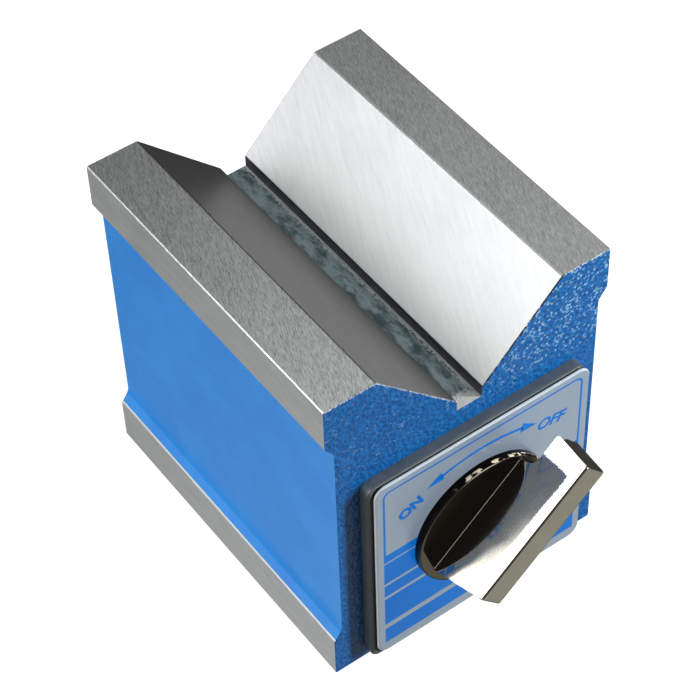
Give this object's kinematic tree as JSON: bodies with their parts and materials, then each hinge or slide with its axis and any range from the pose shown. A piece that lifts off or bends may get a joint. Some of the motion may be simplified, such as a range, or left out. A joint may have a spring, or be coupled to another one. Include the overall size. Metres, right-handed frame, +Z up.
{
  "type": "magnetic v-block",
  "caption": "Block with a 90 degree V on top and a switchable magnet inside: a lever knob turns a magnet rotor between steel poles to hold round or flat work.",
  "frame": {"origin": "middle of the ground base", "axes": "+X to the right across the V seen from the knob's side, +Y from the knob end to the back along the V, +Z up out of the V"},
  "size_m": [0.059, 0.0884, 0.073],
  "materials": {
    "pole": "blue hammered paint on the sides and ends, ground bare steel on the base, rails, top and V",
    "spacer": "dull grey non-magnetic metal",
    "plate": "satin grey metal",
    "label": "clear-coated silver sheet printed in blue",
    "fastener": "plain steel",
    "bush": "turned brass",
    "spring_steel": "plain spring steel",
    "shaft": "turned steel",
    "ferrite": "black sintered ferrite",
    "knob": "polished nickel plate"
  },
  "bodies": {
    "block": {"left_pole_block": "pole", "right_pole_block": "pole", "vee_spacer_strip": "spacer", "base_spacer_strip": "spacer", "switch_plate": "plate", "plate_screws": "fastener", "switch_label": "label", "stop_pin": "fastener", "knob_bush": "bush", "front_bearing_disc": "bush", "rear_bearing_disc": "bush", "disc_spring": "spring_steel", "rear_thrust_washer": "spring_steel", "rear_cover_plate": "plate", "rear_cover_screws": "fastener"},
    "switch": {"switch_knob": "knob", "knob_washer": "spring_steel", "knob_retaining_ring": "spring_steel", "drive_shaft": "shaft", "front_thrust_washer": "spring_steel", "rotor_front_cap": "bush", "rotor_magnet_1": "ferrite", "rotor_magnet_2": "ferrite", "rotor_magnet_3": "ferrite", "rotor_rear_cap": "bush", "rotor_retaining_ring": "spring_steel"}
  },
  "joints": [
    {"name": "switch_turn", "type": "hinge", "parent": "block", "child": "switch", "pos_m": [0, -0.035, 0.0276], "axis": [0, -1, 0], "range_deg": [0, 90]}
  ]
}
